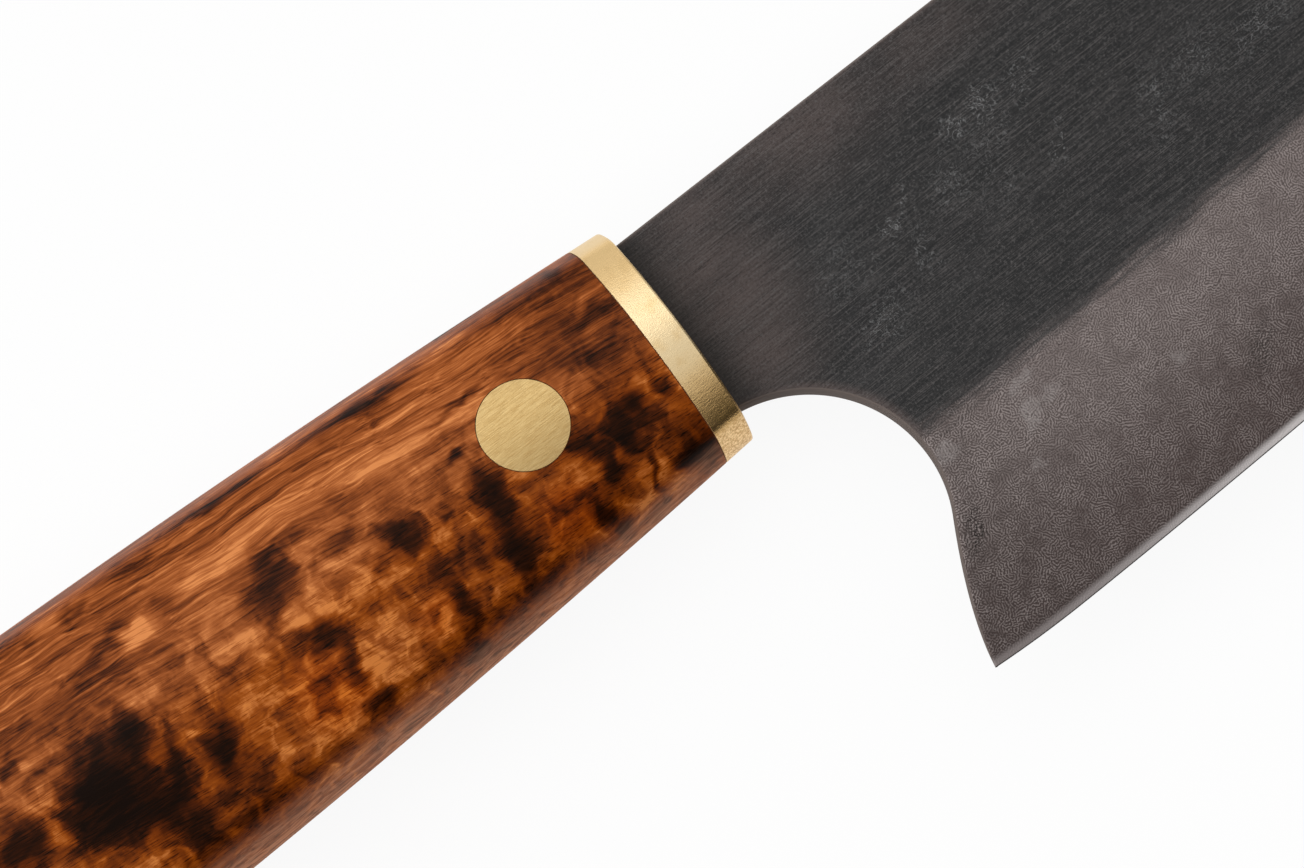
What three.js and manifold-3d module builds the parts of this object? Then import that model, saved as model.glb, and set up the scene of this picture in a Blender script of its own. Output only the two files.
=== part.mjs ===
import * as THREE from 'three';
import { mergeVertices } from 'three/addons/utils/BufferGeometryUtils.js';
import Module from 'manifold-3d';

const wasm = await Module();
wasm.setup();

// A santoku kitchen knife with a hidden tang, lying on its side, in millimetres.
// X runs along the handle towards the tip, Y towards the spine, Z up through the thickness.
// While it is built, the origin is the middle of the ferrule's front face.

// Blade, seen from the side
const bladeLength = 170; // heel to tip
const bladeDepth = 48.6; // spine to the lowest point of the edge
const bladeRise = THREE.MathUtils.degToRad(0.85); // the spine climbs away from the handle's axis
const spineHeight = 9.1; // spine above the handle's axis, at the ferrule
const neckHeight = 17.5; // spine to the lower corner of the neck, at the ferrule
const heelReach = 3.2; // the heel lies this far ahead of the ferrule
const heelLift = 0.36; // the edge climbs this much to the heel
const heelRocker = 8.7; // heel to the lowest point of the edge
const edgeRise = 8.5; // slow climb of the edge from its lowest point to the tip
const edgeRisePower = 1.6;
const bellyRise = 8.5; // quick climb of the edge close to the tip
const bellyPower = 5;
const noseLength = 62; // the spine curves down to the tip over this length

// Finger notch between the neck and the heel
const notchRadius = 12.2;
const notchSetback = 1.8; // the notch's centre lies this far behind the ferrule's front face
const notchExit = THREE.MathUtils.degToRad(31); // the round part ends this far below its centre
const heelSweep = 8.6; // run of the tangent that leads the notch into the heel

// Blade, through its thickness
const spineThickness = 2.7; // at the ferrule
const tipThickness = 1.5; // the flats would meet the tip at this thickness
const bevelHeight = 19.4; // ground bevel, above the edge
const edgeBevelHeight = 1.3;
const edgeBevelThickness = 0.45; // at the shoulder of the edge bevel
const edgeLand = 0.08; // thickness of the edge itself

// Tang, hidden in the handle
const tangAxis = 0.5; // above the axis of the handle
const tangLength = 80; // behind the ferrule's front face
const tangHeight = 12;
const tangEndHeight = 7;
const tangThickness = 2.3;
const tangRoot = 5; // the tang's outline starts this far inside the neck

// Ferrule
const ferruleThickness = 3.05;
const ferruleChamfer = 0.2;
const ferruleLean = THREE.MathUtils.degToRad(1); // its top leans this far towards the tip

// Handle
const handleLength = 125; // ferrule's front face to butt
const handleFrontHeight = 22.1;
const handleMaxHeight = 30;
const handleFrontThickness = 15;
const handleMaxThickness = 19.5;
const handleWidestAt = 97; // behind the ferrule's front face
const domeRise = 2.9; // crest of each broad face above its crease with the flank
const flankReach = 1.8; // the flank's middle stands this far out of the crease
const flankPower = 1.5; // 1 would be a flat flank, more bulges it
const creaseRound = 0.6; // rounding between face and flank
const buttRound = 8;

// Pin
const pinDiameter = 8;
const pinSetback = 15.8; // behind the ferrule's front face

// Fits
const seatGap = 0.05; // neck shoulder to ferrule
const slotGap = 0.15; // tang to ferrule slot, all round
const bedThickness = 0.8; // tang to mortise wall, all round
const bedGap = 0.15; // adhesive to tang and to mortise wall
const pinGap = 0.15; // pin to its bore, all round
const glueLine = 0.08; // adhesive film between ferrule and handle
const filmInset = 0.1; // the film stops short of the outside

// Smoothness
const sectionSides = 64;
const handleSteps = 18;
const buttSteps = 6;
const grindSteps = 56;
const curveSteps = 24;
const pinSides = 40;
const overrun = 2; // cutters reach past what they cut

// Places worked out from the sizes above
const tip = new THREE.Vector2(heelReach + bladeLength, 0);
tip.y = edgeHeight(tip.x);
const outlineFloor = spineHeight - bladeDepth - overrun;
const handleFront = ferruleThickness + glueLine;

// Height of the edge, in the blade's own frame, where the spine is level
function edgeHeight(x) {
  const lowestHeight = spineHeight - bladeDepth;
  const lowestX = heelReach + heelRocker;
  if (x < lowestX) {
    return lowestHeight + heelLift * ((lowestX - x) / heelRocker) ** 2;
  }
  const along = (x - lowestX) / (bladeLength - heelRocker);
  return lowestHeight + edgeRise * along ** edgeRisePower + bellyRise * along ** bellyPower;
}

// Half the thickness of the blade between its flats
function flatHalfThickness(x) {
  return (spineThickness + ((tipThickness - spineThickness) * x) / tip.x) / 2;
}

// A size of the handle that starts at the ferrule and swells to its widest along a parabola
function swell(front, widest, back) {
  const remaining = (handleWidestAt - back) / handleWidestAt;
  return widest - (widest - front) * remaining ** 2;
}

// Height of the handle's surface above its middle plane: a domed face that breaks into a steep flank
function surfaceHeight(y, halfHeight, halfThickness) {
  const creaseY = halfHeight - flankReach;
  const creaseZ = halfThickness - domeRise;
  const fromSilhouette = Math.max(halfHeight - Math.abs(y), 0);
  const dome = halfThickness - domeRise * (y / creaseY) ** 2;
  const flank = creaseZ * (fromSilhouette / flankReach) ** (1 / flankPower);
  const share = THREE.MathUtils.clamp(0.5 + (flank - dome) / (2 * creaseRound), 0, 1);
  return THREE.MathUtils.lerp(flank, dome, share) - creaseRound * share * (1 - share);
}

// Outline of the handle, leaning as the ferrule does, behind the ferrule's front face, drawn in by an inset
function handleSection(back, inset) {
  const halfHeight = swell(handleFrontHeight, handleMaxHeight, back) / 2;
  const halfThickness = swell(handleFrontThickness, handleMaxThickness, back) / 2;
  const section = [];
  for (let side = 0; side < sectionSides; side++) {
    const angle = (2 * Math.PI * side) / sectionSides;
    const y = halfHeight * Math.cos(angle);
    const z = Math.sign(Math.sin(angle)) * surfaceHeight(y, halfHeight, halfThickness);
    const drawnY = y * (1 - inset / halfHeight);
    const drawnZ = z * (1 - inset / halfThickness);
    section.push(new THREE.Vector3(drawnY * Math.tan(ferruleLean) - back, drawnY, drawnZ));
  }
  return section;
}

// Closed skin through convex sections that follow each other along +X
function loft(sections) {
  const sides = sections[0].length;
  const lastRow = (sections.length - 1) * sides;
  const faces = [];
  for (let row = 0; row < lastRow; row += sides) {
    for (let side = 0; side < sides; side++) {
      const here = row + side;
      const next = row + ((side + 1) % sides);
      faces.push(here, next, here + sides);
      faces.push(next, next + sides, here + sides);
    }
  }
  for (let side = 1; side + 1 < sides; side++) {
    faces.push(0, side + 1, side);
    faces.push(lastRow, lastRow + side, lastRow + side + 1);
  }
  const geometry = new THREE.BufferGeometry().setFromPoints(sections.flat());
  geometry.setIndex(faces);
  return geometry;
}

// Plate of a side outline, half its thickness each side of the middle plane
function plate(shape, thickness) {
  const settings = { depth: thickness, bevelEnabled: false, curveSegments: curveSteps };
  return new THREE.ExtrudeGeometry(shape, settings).translate(0, 0, -thickness / 2);
}

// Solid that joins and cuts, from a closed geometry
function solid(geometry) {
  geometry.deleteAttribute('normal');
  geometry.deleteAttribute('uv');
  const merged = mergeVertices(geometry);
  const vertProperties = merged.attributes.position.array;
  const triVerts = Uint32Array.from(merged.index.array);
  return new wasm.Manifold(new wasm.Mesh({ numProp: 3, vertProperties, triVerts }));
}

// Named mesh of a finished solid
function piece(name, body, look) {
  const { vertProperties, triVerts } = body.getMesh();
  const geometry = new THREE.BufferGeometry();
  geometry.setAttribute('position', new THREE.BufferAttribute(vertProperties, 3));
  geometry.setIndex(new THREE.BufferAttribute(triVerts, 1));
  geometry.computeVertexNormals();
  const mesh = new THREE.Mesh(geometry, new THREE.MeshStandardMaterial(look));
  mesh.name = name;
  return mesh;
}

// Side outline of blade and neck; it runs past the ferrule's plane and past the edge, where it is trimmed
function bladeOutline() {
  const noseStart = tip.x - noseLength;
  const noseDrop = spineHeight - tip.y;
  const noseRadius = (noseLength ** 2 + noseDrop ** 2) / (2 * noseDrop);
  const noseEnd = Math.acos(noseLength / noseRadius);

  const neckCorner = spineHeight - neckHeight;
  const notchX = -notchSetback;
  const notchY = neckCorner - Math.sqrt(notchRadius ** 2 - notchSetback ** 2);
  const exitX = notchX + notchRadius * Math.cos(notchExit);
  const exitY = notchY - notchRadius * Math.sin(notchExit);
  const sweepX = exitX - heelSweep * Math.sin(notchExit);
  const sweepY = exitY - heelSweep * Math.cos(notchExit);

  const shape = new THREE.Shape();
  shape.moveTo(notchX, spineHeight);
  shape.lineTo(noseStart, spineHeight);
  shape.absarc(noseStart, spineHeight - noseRadius, noseRadius, Math.PI / 2, noseEnd, true);
  shape.lineTo(tip.x, outlineFloor);
  shape.lineTo(heelReach, outlineFloor);
  shape.lineTo(heelReach, edgeHeight(heelReach));
  shape.quadraticCurveTo(sweepX, sweepY, exitX, exitY);
  shape.absarc(notchX, notchY, notchRadius, -notchExit, Math.PI / 2, false);
  return shape;
}

// Room between the two flats, which draw together towards the tip
function flatsWedge() {
  const top = spineHeight + overrun;
  const bottom = outlineFloor - overrun;
  const ends = [-notchSetback - overrun, tip.x + overrun];
  return loft(ends.map((x) => {
    const half = flatHalfThickness(x);
    const corners = [[top, half], [bottom, half], [bottom, -half], [top, -half]];
    return corners.map(([y, z]) => new THREE.Vector3(x, y, z));
  }));
}

// Room between the two ground bevels, down to the edge
function grindWedge() {
  const start = -notchSetback - overrun;
  const end = tip.x + overrun;
  const top = spineHeight + overrun;
  const sections = [];
  for (let step = 0; step <= grindSteps; step++) {
    const x = start + ((end - start) * step) / grindSteps;
    const edge = edgeHeight(x);
    const shoulder = edge + edgeBevelHeight;
    const shoulderHalf = edgeBevelThickness / 2;
    const slope = (flatHalfThickness(x) - shoulderHalf) / (bevelHeight - edgeBevelHeight);
    const topHalf = shoulderHalf + slope * (top - shoulder);
    const side = [[top, topHalf], [shoulder, shoulderHalf], [edge, edgeLand / 2]];
    const otherSide = side.map(([y, z]) => [y, -z]).reverse();
    sections.push([...side, ...otherSide].map(([y, z]) => new THREE.Vector3(x, y, z)));
  }
  return loft(sections);
}

// Side outline of the tang from a front plane backwards, grown all round by a fit
function tangOutline(front, grow) {
  const top = tangAxis + tangHeight / 2 + grow;
  const bottom = tangAxis - tangHeight / 2 - grow;
  const endX = tangEndHeight / 2 - tangLength;
  const endRadius = tangEndHeight / 2 + grow;
  const shape = new THREE.Shape();
  shape.moveTo(front, top);
  shape.lineTo(-handleFront, top);
  shape.absarc(endX, tangAxis, endRadius, Math.PI / 2, (3 * Math.PI) / 2, false);
  shape.lineTo(-handleFront, bottom);
  shape.lineTo(front, bottom);
  return shape;
}

// Tang, or room for it, from a front plane backwards
function tangBody(front, grow) {
  return solid(plate(tangOutline(front, grow), tangThickness + 2 * grow));
}

// Round bar on the pin's axis
function pinBar(radius) {
  const bar = new THREE.CylinderGeometry(radius, radius, handleMaxThickness + overrun, pinSides);
  return solid(bar.rotateX(Math.PI / 2).translate(-pinSetback, tangAxis, 0));
}

// Everything behind a plane that leans as the ferrule does and crosses the handle's axis at a given X
function behindPlane(x) {
  const size = bladeLength;
  const block = new THREE.BoxGeometry(size, size, size).translate(-size / 2, 0, 0);
  return solid(block.rotateZ(-ferruleLean).translate(x, 0, 0));
}

function makeBlade(pinBore) {
  const outline = plate(bladeOutline(), spineThickness + overrun).rotateZ(bladeRise);
  const flats = flatsWedge().rotateZ(bladeRise);
  const grind = grindWedge().rotateZ(bladeRise);
  const body = solid(outline).intersect(solid(flats)).intersect(solid(grind));
  return body.subtract(behindPlane(seatGap)).add(tangBody(tangRoot, 0)).subtract(pinBore);
}

function makeFerrule() {
  const sections = [
    handleSection(ferruleThickness, 0),
    handleSection(ferruleChamfer, 0),
    handleSection(0, ferruleChamfer),
  ];
  return solid(loft(sections)).subtract(tangBody(overrun, slotGap));
}

// Outside of the handle, from the rounded butt to the joint with the ferrule
function handleSkin() {
  const buttStart = handleLength - buttRound;
  const sections = [];
  for (let step = buttSteps; step > 0; step--) {
    const turn = (Math.PI / 2) * (step / buttSteps);
    sections.push(handleSection(buttStart + buttRound * Math.sin(turn), buttRound * (1 - Math.cos(turn))));
  }
  for (let step = handleSteps; step >= 0; step--) {
    sections.push(handleSection(handleFront + ((buttStart - handleFront) * step) / handleSteps, 0));
  }
  return solid(loft(sections));
}

function makeHandle(skin, pinBore) {
  return skin.subtract(tangBody(overrun, bedThickness)).subtract(pinBore);
}

function makeEpoxyBed(pinBore) {
  const film = loft([handleSection(handleFront, filmInset), handleSection(ferruleThickness, filmInset)]);
  const sleeve = tangBody(overrun, bedThickness - bedGap).intersect(behindPlane(-ferruleThickness));
  return sleeve.add(solid(film)).subtract(tangBody(overrun, bedGap)).subtract(pinBore);
}

function makeKnife() {
  const skin = handleSkin();
  const pinBore = pinBar(pinDiameter / 2 + pinGap);
  const pin = pinBar(pinDiameter / 2).intersect(skin);
  const steel = { color: '#4b4847', roughness: 0.55, metalness: 0.9 };
  const brass = { color: '#d2b37d', roughness: 0.35, metalness: 1 };
  const brassPin = { color: '#d3af75', roughness: 0.4, metalness: 1 };
  const wood = { color: '#8a4a26', roughness: 0.35, metalness: 0 };
  const adhesive = { color: '#2b1b12', roughness: 0.6, metalness: 0 };

  const knife = new THREE.Group();
  knife.add(piece('blade', makeBlade(pinBore), steel));
  knife.add(piece('ferrule', makeFerrule(), brass));
  knife.add(piece('handle', makeHandle(skin, pinBore), wood));
  knife.add(piece('handle_pin', pin, brassPin));
  knife.add(piece('epoxy_bed', makeEpoxyBed(pinBore), adhesive));
  return knife;
}

// The finished knife lies on the plane Z = 0 with the middle of its box over the origin
const knife = makeKnife();
const box = new THREE.Box3().setFromObject(knife);
const middle = box.getCenter(new THREE.Vector3());
knife.position.set(-middle.x, -middle.y, -box.min.z);

export default knife;
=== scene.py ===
from math import acos, asin, cos, pi, radians, sin, sqrt, tan

import bmesh
import bpy
import numpy as np
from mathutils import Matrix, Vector


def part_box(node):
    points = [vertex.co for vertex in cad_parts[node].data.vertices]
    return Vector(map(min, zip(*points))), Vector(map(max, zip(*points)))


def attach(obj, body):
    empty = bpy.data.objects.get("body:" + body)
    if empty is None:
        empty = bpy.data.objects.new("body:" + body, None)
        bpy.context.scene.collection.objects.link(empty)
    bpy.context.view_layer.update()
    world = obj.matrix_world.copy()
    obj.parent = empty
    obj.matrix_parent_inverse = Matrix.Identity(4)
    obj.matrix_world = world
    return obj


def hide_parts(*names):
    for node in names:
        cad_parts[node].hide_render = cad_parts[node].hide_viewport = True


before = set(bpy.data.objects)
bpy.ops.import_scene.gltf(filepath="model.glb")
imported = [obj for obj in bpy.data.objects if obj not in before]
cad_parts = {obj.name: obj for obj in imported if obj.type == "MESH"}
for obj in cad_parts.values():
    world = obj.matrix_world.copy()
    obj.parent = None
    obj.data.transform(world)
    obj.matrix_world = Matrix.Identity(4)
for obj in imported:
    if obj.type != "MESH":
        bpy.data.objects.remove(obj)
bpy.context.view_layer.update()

# A santoku knife lying on its side. Shapes are written in millimetres in the knife's own frame:
# X runs along the handle towards the tip, Y towards the spine, Z up through the thickness.
# The origin is the middle of the ferrule's front face.
MM = 0.001
PIN_SETBACK = 15.8  # pin's axis behind the ferrule's front face
BOX_SLACK = 0.01  # keeps the smooth edge and tip inside the box of the faceted ones

# Boxes of the CAD pieces, and the sizes and places that they give
FERRULE_LOW, FERRULE_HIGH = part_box("ferrule")
HANDLE_LOW, HANDLE_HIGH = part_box("handle")
PIN_LOW, PIN_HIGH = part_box("handle_pin")
BLADE_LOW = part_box("blade")[0]
SEAT = Vector((
    (PIN_LOW.x + PIN_HIGH.x) / 2 + PIN_SETBACK * MM,
    (FERRULE_LOW.y + FERRULE_HIGH.y) / 2,
    (HANDLE_LOW.z + HANDLE_HIGH.z) / 2,
))
HANDLE_MAX_HEIGHT = (HANDLE_HIGH.y - HANDLE_LOW.y) / MM
HANDLE_MAX_THICKNESS = (HANDLE_HIGH.z - HANDLE_LOW.z) / MM
PIN_RADIUS = (PIN_HIGH.y - PIN_LOW.y) / 2 / MM
PIN_X = -PIN_SETBACK
PIN_Y = ((PIN_LOW.y + PIN_HIGH.y) / 2 - SEAT.y) / MM
TANG_LENGTH = (SEAT.x - BLADE_LOW.x) / MM

# Blade, seen from the side
BLADE_LENGTH = 170.0
BLADE_DEPTH = 48.6
BLADE_RISE = radians(0.85)
SPINE_HEIGHT = 9.1
NECK_HEIGHT = 17.5
HEEL_REACH = 3.2
HEEL_LIFT = 0.36
HEEL_ROCKER = 8.7
EDGE_RISE = 8.5
EDGE_RISE_POWER = 1.6
BELLY_RISE = 8.5
BELLY_POWER = 5.0
NOSE_LENGTH = 62.0
NOTCH_RADIUS = 12.2
NOTCH_SETBACK = 1.8
NOTCH_EXIT = radians(31)
HEEL_SWEEP = 8.6
SEAT_GAP = 0.05

# Blade, through its thickness
SPINE_THICKNESS = 2.7
TIP_THICKNESS = 1.5
BEVEL_HEIGHT = 19.4
EDGE_BEVEL_HEIGHT = 1.3
EDGE_BEVEL_THICKNESS = 0.45
EDGE_LAND = 0.08
GRIND_BLEND = 0.07  # rounding of the grind line, in thickness
EDGE_BLEND = 0.03
SPINE_EASE = 0.3
SPINE_EASE_LIMIT = 0.6  # most that this rounding takes of the half thickness
RIM_EASE = 0.3
RIM_EASE_LIMIT = 0.7

# Tang and its mortise
TANG_HEIGHT = 12.0
TANG_END_HEIGHT = 7.0
TANG_THICKNESS = 2.3
SLOT_GAP = 0.15
BED_THICKNESS = 0.8
CUT_REACH = 2.0  # how far in front of the ferrule's front face the mortise's cut starts

# Handle and ferrule
HANDLE_LENGTH = 125.0
HANDLE_FRONT_HEIGHT = 22.1
HANDLE_FRONT_THICKNESS = 15.0
HANDLE_WIDEST_AT = 97.0
DOME_RISE = 2.9
FLANK_REACH = 1.8
FLANK_POWER = 1.5
CREASE_ROUND = 0.6  # at the ferrule
WOOD_CREASE_ROUND = 2.2  # where the wood is rubbed round
WOOD_CREASE_RUN = 14.0  # length behind the joint in which the rounding grows to that
BUTT_ROUND = 8.0
FERRULE_THICKNESS = 3.05
FERRULE_CHAMFER = 0.2
CHAMFER_BREAK = (0.4, 0.3)  # where the chamfer's slope changes, in shares of its depth and width
FERRULE_LEAN = radians(1)  # the ferrule's top leans towards the tip
FERRULE_EASE = 0.03  # at its back
GLUE_LINE = 0.08
HANDLE_FRONT = FERRULE_THICKNESS + GLUE_LINE
HANDLE_EASE = 0.02  # at the joint
PIN_GAP = 0.15
PIN_EASE = 0.04
PIN_LINE = 0.04  # fine line round the pin in the wood

# Mesh density
SWEEP_STEPS = 34  # from the heel to the notch's arc
SWEEP_BIAS = 1.5  # draws these steps together towards the heel
ARC_STEPS = 56  # round the notch
NECK_ROWS = 5  # below the tang
TANG_ROWS = 16
SPINE_ROWS = 3  # above the tang
SPINE_EASE_LEVELS = np.array([1, 0.6, 0.3, 0.1, 0])  # in shares of the spine's rounding
ROW_LOW = 24.0  # up to this height above the edge, a row keeps its height along the blade
TIP_SHARE = 0.75  # and no more than this share of what is left of the blade towards the tip
CLOSE_SHARE = 0.46  # share of the blade's length that has closer columns
CLOSE_COLUMNS = 130
WIDE_COLUMNS = 84
RIM_STEPS = 4
TANG_STATIONS = 40
TANG_END_STATIONS = 7
TANG_END_SIDES = 25
SECTION_SIDES = 176
PIN_STATIONS = 13  # stations between the joint and the pin's axis
BODY_STATIONS = 84
BUTT_STATIONS = 12
PIN_PATCH = 6  # half the size of the patch round the bore, in stations
PATCH_RINGS = (0.3, 0.55, 0.75, 0.88, 0.96, 1.0)  # shares of the way from its border to the bore
PIN_SIDES = 96
PIN_RINGS = (0.6, 1.3, 2.0, 2.6, 3.1, 3.5, 3.75)  # radii on the pin's ends
CREASE_ANGLE = radians(32)  # a sharper crease shows as an edge
FERRULE_CREASE_ANGLE = radians(24)

# The photograph's camera
PHOTO_WIDTH = 1304
PHOTO_HEIGHT = 868
AZIMUTH = radians(-37.8)
ELEVATION = radians(79.0)
CAMERA_DISTANCE = 600.0
CAMERA_AIM = Vector((-6.8, -5.49, 0.0))
LENS = 195.4
SENSOR = 36.0
CAMERA_BACK = Vector((
    sin(AZIMUTH) * cos(ELEVATION),
    -cos(AZIMUTH) * cos(ELEVATION),
    sin(ELEVATION),
))
CAMERA_RIGHT = Vector((cos(AZIMUTH), sin(AZIMUTH), 0.0))
CAMERA_UP = CAMERA_BACK.cross(CAMERA_RIGHT)
RAY_STEPS = 5  # steps to find where a line of sight meets a surface

# Places that follow from the sizes
TIP_X = HEEL_REACH + BLADE_LENGTH - BOX_SLACK
LOWEST_X = HEEL_REACH + HEEL_ROCKER
LOWEST_Y = SPINE_HEIGHT - BLADE_DEPTH + BOX_SLACK
NOTCH_DROP = sqrt(NOTCH_RADIUS ** 2 - NOTCH_SETBACK ** 2)
NOTCH_CENTRE = np.array([-NOTCH_SETBACK, SPINE_HEIGHT - NECK_HEIGHT - NOTCH_DROP])
SHOULDER_TURN = BLADE_RISE + FERRULE_LEAN  # of the neck's shoulder in the blade's own frame
SHOULDER_REACH = SEAT_GAP * cos(FERRULE_LEAN)
TANG_LOW, TANG_HIGH = PIN_Y - TANG_HEIGHT / 2, PIN_Y + TANG_HEIGHT / 2
TANG_END_RADIUS = TANG_END_HEIGHT / 2
TANG_END_X = TANG_END_RADIUS - TANG_LENGTH


# Shapes of the blade

def edge_height(x):
    """Height of the edge in the blade's own frame, where the spine is level."""
    x = np.asarray(x, float)
    rocker = HEEL_LIFT * (np.maximum(LOWEST_X - x, 0) / HEEL_ROCKER) ** 2
    along = np.maximum(x - LOWEST_X, 0) / (BLADE_LENGTH - HEEL_ROCKER)
    return LOWEST_Y + rocker + EDGE_RISE * along ** EDGE_RISE_POWER + BELLY_RISE * along ** BELLY_POWER


def spine_height(x):
    """Height of the spine, which is level and then rounds down to the tip."""
    drop = SPINE_HEIGHT - float(edge_height(TIP_X))
    radius = (NOSE_LENGTH ** 2 + drop ** 2) / (2 * drop)
    past = np.maximum(np.asarray(x, float) - (TIP_X - NOSE_LENGTH), 0)
    return SPINE_HEIGHT - radius + np.sqrt(radius ** 2 - past ** 2)


def smooth_least(a, b, blend):
    """The lesser of two values, rounded where they cross."""
    share = np.clip(0.5 + (b - a) / (2 * blend), 0, 1)
    return b + (a - b) * share - blend * share * (1 - share)


def blade_half_thickness(x, y):
    """Half the blade's thickness at a point of its side outline."""
    above = y - edge_height(x)
    flat = (SPINE_THICKNESS + (TIP_THICKNESS - SPINE_THICKNESS) * x / TIP_X) / 2
    shoulder = EDGE_BEVEL_THICKNESS / 2
    land = EDGE_LAND / 2
    slope = (flat - shoulder) / (BEVEL_HEIGHT - EDGE_BEVEL_HEIGHT)
    bevel = shoulder + slope * (above - EDGE_BEVEL_HEIGHT)
    keen = land + (shoulder - land) * above / EDGE_BEVEL_HEIGHT
    body = smooth_least(smooth_least(flat, bevel, GRIND_BLEND), keen, EDGE_BLEND)
    body = np.maximum(body, land)
    below_spine = np.clip((spine_height(x) - y) / SPINE_EASE, 0, 1)
    ease = np.minimum(SPINE_EASE, SPINE_EASE_LIMIT * body)
    return body - ease * (1 - np.sqrt(1 - (1 - below_spine) ** 2))


def notch_outline():
    """Points from the heel up round the notch to the neck, and the way into the steel at each."""
    heel = np.array([HEEL_REACH, float(edge_height(HEEL_REACH))])
    leaving = np.array([cos(NOTCH_EXIT), -sin(NOTCH_EXIT)])
    exit_point = NOTCH_CENTRE + NOTCH_RADIUS * leaving
    control = exit_point - HEEL_SWEEP * np.array([sin(NOTCH_EXIT), cos(NOTCH_EXIT)])
    points, inwards = [], []
    for step in range(SWEEP_STEPS):
        t = (step / SWEEP_STEPS) ** SWEEP_BIAS
        points.append((1 - t) ** 2 * heel + 2 * t * (1 - t) * control + t ** 2 * exit_point)
        run = 2 * (1 - t) * (control - heel) + 2 * t * (exit_point - control)
        inwards.append(np.array([run[1], -run[0]]) / np.linalg.norm(run))
    ahead = NOTCH_CENTRE[0] * cos(SHOULDER_TURN) - NOTCH_CENTRE[1] * sin(SHOULDER_TURN)
    last = acos((SHOULDER_REACH - ahead) / NOTCH_RADIUS) - SHOULDER_TURN
    for angle in np.linspace(-NOTCH_EXIT, last, ARC_STEPS):
        inward = np.array([cos(angle), sin(angle)])
        points.append(NOTCH_CENTRE + NOTCH_RADIUS * inward)
        inwards.append(inward)
    return np.array(points), np.array(inwards)


def shoulder_x(y):
    """Where the neck's shoulder lies, in the blade's own frame."""
    return (SHOULDER_REACH + y * sin(SHOULDER_TURN)) / cos(SHOULDER_TURN)


def raised(points):
    """Points of the blade's own frame in the knife's frame, with the spine's slight climb."""
    x, y, z = np.asarray(points, float).T
    turn_x = x * cos(BLADE_RISE) - y * sin(BLADE_RISE)
    turn_y = x * sin(BLADE_RISE) + y * cos(BLADE_RISE)
    return np.stack([turn_x, turn_y, z], 1)


# Shapes of the handle

def swell(front, widest, back):
    """A size of the handle that swells from the ferrule to its widest along a parabola."""
    return widest - (widest - front) * ((HANDLE_WIDEST_AT - back) / HANDLE_WIDEST_AT) ** 2


def half_height(back):
    return swell(HANDLE_FRONT_HEIGHT, HANDLE_MAX_HEIGHT, back) / 2


def half_thickness(back):
    return swell(HANDLE_FRONT_THICKNESS, HANDLE_MAX_THICKNESS, back) / 2


def crease_round(back):
    """Rounding of the crease between face and flank, which the wood has more of than the ferrule."""
    share = np.clip((back - HANDLE_FRONT) / WOOD_CREASE_RUN, 0, 1)
    return CREASE_ROUND + (WOOD_CREASE_ROUND - CREASE_ROUND) * share


def handle_height(back, y):
    """Height of the handle's surface over its middle plane: a domed face and a steep flank."""
    high, thick = half_height(back), half_thickness(back)
    from_silhouette = np.maximum(high - np.abs(y), 0)
    dome = thick - DOME_RISE * (y / (high - FLANK_REACH)) ** 2
    flank = (thick - DOME_RISE) * (from_silhouette / FLANK_REACH) ** (1 / FLANK_POWER)
    return smooth_least(flank, dome, crease_round(back))


def surface_height(x, y):
    """Height of the handle's surface over a point, where the sections lean as the ferrule does."""
    return handle_height(y * tan(FERRULE_LEAN) - x, y)


def handle_section(back, inset=0.0):
    """Leaning ring round the handle, drawn in by an inset. Side 0 is the crest of the upper face."""
    turn = np.arange(SECTION_SIDES) * 2 * pi / SECTION_SIDES
    y = half_height(back) * np.sin(turn)
    z = np.sign(np.cos(turn)) * handle_height(back, y)
    y = y * (1 - inset / half_height(back))
    z = z * (1 - inset / half_thickness(back))
    return np.stack([y * tan(FERRULE_LEAN) - back, y, z], 1)


def mortise_outline():
    """Side outline of the mortise: the tang's, grown all round by the bed."""
    top, bottom = TANG_HIGH + BED_THICKNESS, TANG_LOW - BED_THICKNESS
    radius = TANG_END_RADIUS + BED_THICKNESS
    outline = [(CUT_REACH, bottom), (CUT_REACH, top), (-HANDLE_FRONT, top)]
    for angle in np.linspace(pi / 2, 3 * pi / 2, TANG_END_SIDES):
        outline.append((TANG_END_X + radius * cos(angle), PIN_Y + radius * sin(angle)))
    outline.append((-HANDLE_FRONT, bottom))
    return outline


# Meshes

class Skin:
    """Points and faces of one closed mesh, in millimetres."""

    def __init__(self):
        self.points = []
        self.faces = []

    def add(self, points):
        first = len(self.points)
        self.points.extend(tuple(float(value) for value in point) for point in points)
        return list(range(first, len(self.points)))

    def bridge(self, loop, other, closed=True):
        count = len(loop)
        for here in range(count if closed else count - 1):
            after = (here + 1) % count
            self.faces.append((loop[here], loop[after], other[after], other[here]))

    def loft(self, loops, closed=True):
        for loop, other in zip(loops, loops[1:]):
            self.bridge(loop, other, closed)

    def fan(self, loop, point):
        for here, after in zip(loop, loop[1:] + loop[:1]):
            self.faces.append((here, after, point))

    def cap(self, loop):
        self.faces.append(tuple(loop))

    def mesh(self, name):
        """Blender mesh of the closed skin, with every face looking outwards."""
        scaled = np.array(self.points) * MM + np.array(SEAT)
        made = bpy.data.meshes.new(name)
        made.from_pydata(scaled.tolist(), [], self.faces)
        shape = bmesh.new()
        shape.from_mesh(made)
        loose = [vertex for vertex in shape.verts if not vertex.link_faces]
        bmesh.ops.delete(shape, geom=loose, context="VERTS")
        bmesh.ops.recalc_face_normals(shape, faces=shape.faces)
        shape.to_mesh(made)
        shape.free()
        return made


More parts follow.
